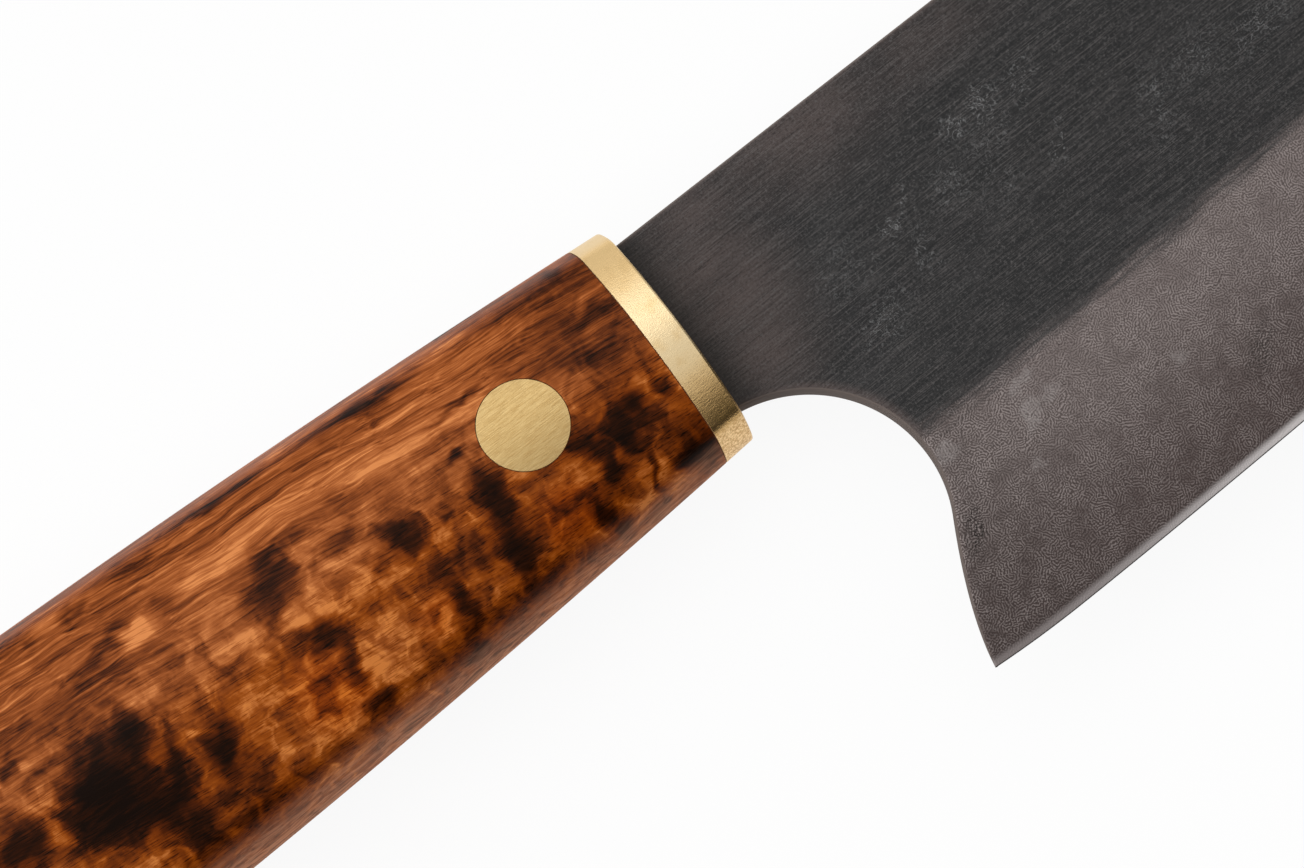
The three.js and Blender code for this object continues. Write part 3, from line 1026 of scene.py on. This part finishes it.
def figured(look, place, swirls, tone):
    """The wood's tone with its flames, eyes and knots, and the share of the eyes' glow."""
    for reach, strength in look.distances(place, LIGHT_FLAMES, wood_surface):
        tone = look.plus(tone, look.span(reach, 1.4, 0.3, 0.0, 0.35 * strength))
    glow = 0.0
    for reach, strength in look.distances(place, EYES, wood_surface):
        glow = look.most(glow, look.span(reach, 1.8, 0.6, 0.0, strength))
        rim = look.math("ABSOLUTE", look.less(reach, 1.0))
        tone = look.plus(tone, look.span(rim, 0.35, 0.0, 0.0, 0.2 * strength))
    for reach, strength in look.distances(place, DARK_KNOTS, wood_surface):
        reach = look.swing(swirls, 0.9, reach)
        tone = look.times(tone, look.span(reach, 0.15, 1.85, 1.0 - strength, 1.0))
    return tone, glow


def wood_look():
    """Stained and polished burl: streaks along the handle, dark knots, light flames and ringed eyes."""
    look = Look("stained_burl")
    x, y, z = look.parts(look.place)
    grain = look.turned(look.place, GRAIN_TURN)
    flow = look.warped(grain, (0.07, 0.2, 0.2), (0.0, 2.6, 2.6))
    fibres = look.streaked(flow, (0.12, 9.0, 9.0), 3.0, 0.65)
    feathered = look.vector("ADD", look.place, look.joined(look.swing(fibres, 0.6), 0.0, 0.0))
    ragged = look.warped(feathered, (0.38, 0.5, 0.5), (2.4, 2.4, 2.4), 1.6)

    # Where the figure is burl, and where the grain runs straight
    burl = look.most(look.span(y, 7.0, -2.0, 0.12, 1.0), look.span(x, -16.0, -7.0, 0.0, 0.5))
    flank = look.span(look.upright(), 0.6, 0.1)
    straight = look.most(look.span(burl, 0.0, 1.0, 1.0, 0.35), flank)

    # Broad figure
    bands = look.streaked(flow, (0.05, 0.6, 0.6), 5.0, 0.6)
    streaks = look.streaked(flow, (0.065, 2.6, 2.6), 4.0, 0.65)
    swirls = look.noise(ragged, 0.32, 2.4, 0.5, 0.8)
    curls = look.noise(look.scaled(ragged, (1.2, 0.8, 0.8)), 0.28, 1.0, 0.5, 1.5)
    strokes = look.streaked(ragged, (1.5, 0.4, 0.4), 3.0, 0.6)
    tone = look.swing(bands, 1.05, 0.7)
    tone = look.plus(tone, look.swing(streaks, 0.85), straight)
    tone = look.plus(tone, look.swing(swirls, 1.5, -0.04), burl)
    tone = look.plus(tone, look.swing(strokes, 0.5), burl)
    tone = look.plus(tone, look.times(look.ridge(curls, 0.07), 0.07), burl)
    tone, glow = figured(look, ragged, swirls, tone)

    # Blots where no spot of the photograph lies: the lower side and the butt
    unseen = look.most(look.span(z, 4.0, 1.0), look.span(x, -54.0, -64.0))
    blots = look.span(look.noise(ragged, 0.16, 3.0, 0.55), 0.56, 0.7, 0.0, 0.85)
    tone = look.times(tone, look.less(1.0, look.times(blots, unseen)))

    # Pores, dashes and fine lines of the grain
    pores = look.span(look.streaked(grain, (0.4, 10.0, 10.0), 1.0), 0.55, 0.7, 0.0, 0.24)
    dashes = look.span(look.streaked(flow, (0.1, 0.8, 0.8), 1.0), 0.5, 0.75, 0.0, 0.22)
    lines = look.streaked(flow, (0.16, 5.0, 5.0), 2.0, 0.6)
    tone = look.less(tone, look.times(pores, burl))
    tone = look.less(tone, look.times(dashes, straight))
    tone = look.plus(tone, look.swing(fibres, 0.36, look.swing(lines, -0.95)), straight)

    # Stain: golden in the lower half. Painted shade darkens and greys the upper flank, and a painted
    # sheen makes the flanks paler, most of all the lower one.
    golden = look.times(look.span(y, 1.5, -3.5), look.span(swirls, 0.35, 0.6, 0.6, 1.0))
    golden = look.times(golden, look.span(tone, 0.65, 0.9, 1.0, 0.5))
    # Painted shade: share of the upper flank
    crown = look.times(flank, look.span(y, 4.0, 8.0))
    # Painted sheen: the flanks, most of all the lower one, painted paler in streaks along the grain
    wear_and_sheen = look.times(flank, look.span(streaks, 0.38, 0.62, 0.3, 0.95))
    wear_and_sheen = look.times(wear_and_sheen, look.span(y, 4.0, -4.0, 0.12, 1.0))
    stained_and_shaded = look.stain_and_shade(golden, look.ramp(tone, WOOD_STAIN), GOLDEN_STAIN)
    stained_and_shaded = look.stain_and_shade(glow, stained_and_shaded, EYE_STAIN)
    # Painted shade on the upper flank
    stained_and_shaded = look.stain_and_shade(crown, stained_and_shaded, UPPER_FLANK_PAINTED_SHADE)
    return look.finish(
        # painted sheen on the flanks
        Base_Color=look.mix(wear_and_sheen, stained_and_shaded, LOWER_FLANK_PAINTED_SHEEN),
        Roughness=look.swing(streaks, 0.25, look.blend(flank, 0.3, 0.55)),
        Specular_IOR_Level=0.05,
        Normal=look.bump(look.plus(streaks, fibres), 0.03 * MM, 0.4),
    )


# Worn patches of the forge scale, written as the burl's figure is
WORN_PATCHES = {
    "chain of curls, low": (953, 128, 1.5, 1.0, 25, 1.0),
    "chain of curls, middle": (984, 102, 1.9, 1.4, 20, 1.0),
    "chain of curls, high": (1020, 74, 2.2, 0.8, 35, 0.8),
    "stroke under the chain": (1026, 90, 1.6, 0.5, 52, 0.7),
    "upright streak": (1058, 142, 2.0, 0.55, 52, 0.8),
    "flecks under the chain": (990, 140, 2.6, 1.4, 0, 0.5),
    "ring of flecks": (950, 185, 2.2, 1.8, 20, 0.6),
    "flecks beside the ring": (1000, 180, 2.0, 2.2, 0, 0.4),
    "small ring": (890, 230, 1.1, 0.9, 30, 1.0),
    "its stem": (903, 200, 1.8, 0.4, 60, 0.8),
    "flecks at mid height": (925, 250, 2.2, 0.7, 60, 0.7),
    "flecks over the notch": (885, 320, 3.2, 1.8, 20, 0.6),
    "flecks on the neck": (845, 270, 3.0, 2.2, 10, 0.45),
    "brushed cloud, low": (1158, 100, 3.6, 1.3, 55, 0.6),
    "brushed cloud, middle": (1195, 58, 3.2, 1.6, 20, 0.6),
    "brushed cloud, high": (1262, 20, 4.5, 1.3, 10, 0.7),
}
BROWN_PATCHES = {
    "neck": (722, 285, 5.0, 7.0, 10, 1.0),
    "neck, before the notch": (765, 350, 4.0, 4.0, 0, 0.9),
    "under the spine by the neck": (690, 215, 5.0, 3.2, 0, 0.8),
    "under the spine": (790, 130, 9.0, 4.5, 0, 0.8),
    "along the spine": (905, 45, 10.0, 3.2, 0, 0.5),
}
PITTED_PATCHES = {
    "pits by the heel": (976, 530, 2.6, 1.2, 60, 1.0),
    "pits under the grind line": (1262, 345, 3.4, 1.4, 40, 0.7),
}
RUBBED_PATCHES = {
    "patch under the grind line": (1022, 382, 1.6, 0.6, 10, 0.8),
    "its foot": (1030, 412, 1.8, 0.8, 60, 0.9),
    "patch right of it": (1050, 392, 1.2, 0.6, 0, 0.6),
    "patch by the notch": (946, 450, 1.2, 0.9, 0, 0.8),
    "patch at mid bevel": (1038, 462, 0.9, 0.5, 0, 0.6),
    "fleck by the right": (1180, 355, 0.7, 0.9, 0, 0.6),
}
SCALE_BLACK = (0.013, 0.013, 0.0135)
SCALE_BROWN = (0.092, 0.067, 0.061)
SCALE_CLOUD = (0.045, 0.044, 0.044)
SCALE_BRUSHED = (0.13, 0.117, 0.113)
SCALE_DEEP = (0.007, 0.0065, 0.0065)
SCALE_GRIT = (0.13, 0.122, 0.12)
SCALE_PIT = (0.006, 0.006, 0.006)
SCALE_CRUMB = (0.1, 0.1, 0.1)
SCALE_FLECK = (0.19, 0.19, 0.19)
# painted shadow next to the ferrule
SCALE_PAINTED_SHADOW = (0.008, 0.007, 0.0065)
ETCHED_LOW = (0.085, 0.064, 0.06)
ETCHED_HIGH = (0.176, 0.145, 0.138)
ETCHED_HEEL = (0.06, 0.045, 0.042)
ETCHED_SPECK = (0.03, 0.025, 0.023)
ETCHED_VALLEY = (0.035, 0.029, 0.027)
ETCHED_RIDGE = (0.3, 0.257, 0.247)
ETCHED_GRIT = (0.36, 0.33, 0.32)
ETCHED_RUBBED = (0.34, 0.31, 0.3)
ETCHED_PIT = (0.03, 0.026, 0.024)
STEEL_WALL = (0.15, 0.122, 0.11)
# sharpened edge: polished steel with a painted highlight, dull at the heel and bright at the tip
EDGE_POLISH_HIGHLIGHT_HEEL = (0.22, 0.19, 0.185)
EDGE_POLISH_HIGHLIGHT_TIP = (0.8, 0.76, 0.75)
EDGE_LINE = (0.05, 0.043, 0.041)
NOTCH_WEAR = 1.2  # width of the worn rim round the notch, in millimetres
SPINE_WEAR = 0.8
GRIND_FADE = (-1.2, 1.4)  # where the scale starts and is full, about the grind line


def blade_place(look):
    """Place in the blade's own frame, its length, and its height above the edge."""
    flat = look.turned(look.place, BLADE_RISE)
    x, y, _ = look.parts(flat)
    heel = look.most(look.less(LOWEST_X, x), 0.0)
    rocker = look.math("POWER", look.math("DIVIDE", heel, HEEL_ROCKER), 2.0)
    run = look.most(look.less(x, LOWEST_X), 0.0)
    along = look.math("DIVIDE", run, BLADE_LENGTH - HEEL_ROCKER)
    edge = look.plus(LOWEST_Y, rocker, HEEL_LIFT)
    edge = look.plus(edge, look.math("POWER", along, EDGE_RISE_POWER), EDGE_RISE)
    edge = look.plus(edge, look.math("POWER", along, BELLY_POWER), BELLY_RISE)
    return flat, x, look.less(y, edge)


def rim_share(look, flat):
    """Share of wear along the spine and round the finger notch."""
    run = look.scaled(look.vector("SUBTRACT", flat, (*NOTCH_CENTRE, 0.0)), (1, 1, 0))
    notch = look.span(look.vector("LENGTH", run), NOTCH_RADIUS + NOTCH_WEAR, NOTCH_RADIUS)
    spine = look.span(look.parts(flat)[1], SPINE_HEIGHT - SPINE_WEAR, SPINE_HEIGHT)
    return look.most(notch, spine)


def patches(look, place, spots, rim=1.25, core=0.4):
    """The strongest share of a set of patches on the blade, which fade from their core to their rim."""
    share = 0.0
    for reach, strength in look.distances(place, spots, steel_surface):
        share = look.most(share, look.span(reach, rim, core, 0.0, strength))
    return share


def scale_tone(look, flat, x, hairs, specks, grit, ragged):
    """Forge scale: near black, browned at neck and rims, brushed lengthwise and worn to flecks, with a
    painted shadow next to the ferrule.
    """
    clouds = look.streaked(flat, (0.1, 0.2, 0.2), 4.0, 0.65)
    curl = look.ridge(look.noise(look.place, 1.1, 2.0, 0.55, 1.2), 0.034, 0.01)
    scattered = look.warped(look.place, (0.9, 0.9, 0.9), (4.5, 4.5, 4.5), 4.0)
    worn = look.times(curl, patches(look, scattered, WORN_PATCHES, 1.7, 0.1))
    brown = patches(look, ragged, BROWN_PATCHES, 1.8, 0.0)
    brown = look.times(brown, look.span(clouds, 0.3, 0.65, 0.5, 1.0))
    brown = look.most(brown, look.times(rim_share(look, flat), 0.9))
    crumbs = look.span(look.noise(look.place, 2.6, 3.0, 0.65, 0.6), 0.64, 0.7, 0.0, 0.5)

    tone = look.mix(brown, SCALE_BLACK, SCALE_BROWN)
    tone = look.tint(tone, SCALE_CLOUD, clouds, 0.5, 0.75, 0.3)
    tone = look.tint(tone, SCALE_BRUSHED, hairs, 0.45, 0.72, 0.5)
    tone = look.tint(tone, SCALE_DEEP, hairs, 0.47, 0.28, 0.75)
    tone = look.tint(tone, SCALE_GRIT, grit, 0.5, 0.7, 0.55)
    tone = look.tint(tone, SCALE_PIT, grit, 0.5, 0.32, 0.6)
    tone = look.mix(look.times(crumbs, look.span(clouds, 0.45, 0.6)), tone, SCALE_CRUMB)
    tone = look.mix(look.times(worn, look.span(specks, 0.36, 0.6)), tone, SCALE_FLECK)
    # Painted shadow: the scale darkens next to the ferrule
    return look.tint(tone, SCALE_PAINTED_SHADOW, x, 3.4, 0.2, 0.6)


def etched_tone(look, x, above, specks, grit, ridges, ragged):
    """Etched grind: fine ridges on a ground that darkens towards the edge and the heel."""
    mottle = look.noise(look.place, 0.5, 4.0, 0.65)
    crest = look.times(look.span(ridges, -0.1, 1.0), look.span(mottle, 0.3, 0.65, 0.15, 0.8))
    crest = look.times(crest, look.span(above, 2.0, 15.0, 0.7, 1.15))
    # Patches of the grind that are worn paler
    wear_and_sheen = patches(look, ragged, RUBBED_PATCHES)
    pits = patches(look, ragged, PITTED_PATCHES)

    tone = look.tint(ETCHED_LOW, ETCHED_HIGH, above, 2.0, 18.0)
    tone = look.tint(tone, ETCHED_HEEL, x, 26.0, 4.0, 0.5)
    tone = look.tint(tone, ETCHED_SPECK, specks, 0.45, 0.25, 0.6)
    tone = look.tint(tone, ETCHED_SPECK, grit, 0.48, 0.3, 0.5)
    tone = look.tint(tone, ETCHED_VALLEY, ridges, 0.1, -1.0, 0.4)
    tone = look.mix(crest, tone, ETCHED_RIDGE)
    tone = look.tint(tone, ETCHED_GRIT, grit, 0.55, 0.75, 0.5)
    tone = look.mix(look.times(wear_and_sheen, look.span(specks, 0.35, 0.65, 0.1, 0.6)), tone, ETCHED_RUBBED)
    return look.mix(look.times(pits, look.span(specks, 0.48, 0.6)), tone, ETCHED_PIT)


def steel_look():
    """Forge scale above the grind line, an etched grind below it and a sharpened edge of polished steel
    with a painted highlight.
    """
    look = Look("forged_steel")
    flat, x, above = blade_place(look)
    ragged = look.warped(look.place, (0.8, 0.8, 0.8), (2.4, 2.4, 2.4), 4.0)
    hairs = look.streaked(flat, (0.3, 11.0, 11.0), 3.0, 0.65)
    specks = look.noise(look.place, 6.0, 2.0, 0.6)
    grit = look.noise(look.place, 4.5, 4.0, 0.8)
    stirred = look.warped(look.place, (1.6, 1.6, 1.6), (0.5, 0.5, 0.5), 2.0)
    prints = {"Vector": stirred, "Scale": 1.0, "Frequency": 4.2, "Anisotropy": 0.0}
    phase = look.add("ShaderNodeTexGabor", prints).outputs["Phase"]
    ridges = look.math("SINE", look.times(phase, 2 * pi))
    scale = scale_tone(look, flat, x, hairs, specks, grit, ragged)
    etched = etched_tone(look, x, above, specks, grit, ridges, ragged)

    # Grind line, upright walls and edge
    wobble = look.streaked(look.joined(x, above, 0.0), (0.12, 1.8, 0.0), 4.0, 0.65)
    ragged_line = look.swing(hairs, 3.0, look.swing(wobble, 4.0, above))
    scaled = look.span(ragged_line, *(BEVEL_HEIGHT + fade for fade in GRIND_FADE))
    wall = look.span(look.upright(), 0.985, 0.8)
    # Sharpened edge: polished steel with a painted highlight that brightens towards the tip
    keen = look.tint(EDGE_POLISH_HIGHLIGHT_HEEL, EDGE_POLISH_HIGHLIGHT_TIP, x, 0.0, 60.0)
    body = look.mix(wall, look.mix(scaled, etched, scale), STEEL_WALL)
    body = look.tint(body, keen, above, 1.0, 0.3)
    body = look.tint(body, EDGE_LINE, above, 0.12, 0.05)

    bare = look.less(1.0, look.most(scaled, wall))
    roughness = look.swing(hairs, 0.2, look.blend(wall, look.blend(bare, 0.6, 0.45), 0.9))
    relief = look.blend(scaled, look.times(ridges, 0.15), hairs)
    return look.finish(
        Base_Color=body,
        Metallic=bare,
        Roughness=roughness,
        Specular_IOR_Level=0.25,
        Normal=look.bump(relief, 0.04 * MM, 0.5),
    )


# Stage

FLOOR_HALF = 3.0  # metres
FLOOR_WHITE = (0.9, 0.9, 0.9)
FLOOR_ROUGHNESS = 0.9
FLOOR_GLOW = 0.92  # how far the floor is plain white where it is seen
BRIGHT_SIDE = (0.0, 0.5, 0.866)  # direction of the room's bright side
ROOM_GREYS = [(0.24, 0.05), (0.35, 0.2), (0.47, 0.82), (0.8, 0.82), (1.0, 1.0)]  # towards that side
SOFT_BOXES = {  # place and side in metres, power in watts
    "soft_box_back": ((-0.2, 0.7, 1.3), 1.0, 3.0),
    "soft_box_side": ((-1.2, 0.1, 0.9), 1.2, 9.0),
}


def light_stage():
    """White floor, a soft room and broad soft boxes."""
    scene = bpy.context.scene
    scene.view_settings.view_transform = "Standard"
    mesh = bpy.data.meshes.new("floor")
    corners = [(-1, -1), (1, -1), (1, 1), (-1, 1)]
    mesh.from_pydata([(FLOOR_HALF * x, FLOOR_HALF * y, 0) for x, y in corners], [], [(0, 1, 2, 3)])
    floor = bpy.data.objects.new("floor", mesh)
    scene.collection.objects.link(floor)
    mesh.materials.append(floor_look())
    scene.world = soft_room()
    for name, (place, size, power) in SOFT_BOXES.items():
        add_soft_box(name, place, size, power)


def soft_room():
    """Room that is bright above and behind the spine and dark towards the edge's side."""
    world = bpy.data.worlds.new("room")
    world.use_nodes = True
    nodes = Nodes(world.node_tree)
    direction = nodes.add("ShaderNodeTexCoord").outputs["Generated"]
    facing = nodes.vector("DOT_PRODUCT", direction, BRIGHT_SIDE)
    level = nodes.ramp(facing, [(position, (grey,) * 3) for position, grey in ROOM_GREYS])
    nodes.feed(nodes.tree.nodes["Background"].inputs["Color"], level)
    return world


def add_soft_box(name, place, size, power):
    lamp = bpy.data.lights.new(name, "AREA")
    lamp.shape = "SQUARE"
    lamp.size = size
    lamp.energy = power
    box = bpy.data.objects.new(name, lamp)
    box.location = place
    box.rotation_mode = "QUATERNION"
    box.rotation_quaternion = (-Vector(place)).to_track_quat("-Z", "Y")
    bpy.context.scene.collection.objects.link(box)


def floor_look():
    """Plain white where it is seen or mirrored, and a white floor that keeps the shadow elsewhere."""
    material = bpy.data.materials.new("white_floor")
    material.use_nodes = True
    nodes = Nodes(material.node_tree)
    shader = nodes.tree.nodes["Principled BSDF"]
    nodes.feed(shader.inputs["Base Color"], FLOOR_WHITE)
    nodes.feed(shader.inputs["Roughness"], FLOOR_ROUGHNESS)
    ray = nodes.add("ShaderNodeLightPath").outputs
    seen = nodes.most(ray["Is Camera Ray"], ray["Is Glossy Ray"])
    share = nodes.times(nodes.most(seen, ray["Is Transmission Ray"]), FLOOR_GLOW)
    white = nodes.add("ShaderNodeEmission", {"Strength": 1.0}).outputs[0]
    mixed = nodes.add("ShaderNodeMixShader", {0: share, 1: shader.outputs[0], 2: white}).outputs[0]
    nodes.feed(nodes.tree.nodes["Material Output"].inputs["Surface"], mixed)
    return material


def set_camera():
    """Camera of the photograph."""
    lens = bpy.data.cameras.new("camera")
    lens.lens = LENS
    lens.sensor_width = SENSOR
    camera = bpy.data.objects.new("camera", lens)
    camera.location = SEAT + MM * (CAMERA_AIM + CAMERA_DISTANCE * CAMERA_BACK)
    camera.rotation_mode = "QUATERNION"
    camera.rotation_quaternion = (-CAMERA_BACK).to_track_quat("-Z", "Y")
    bpy.context.scene.collection.objects.link(camera)
    bpy.context.scene.camera = camera


build_blade(steel_look())
build_ferrule(brass_look())
build_handle(wood_look())
build_pin(pin_look())
bed_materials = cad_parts["epoxy_bed"].data.materials
bed_materials.clear()
bed_materials.append(adhesive_look())
set_camera()
light_stage()
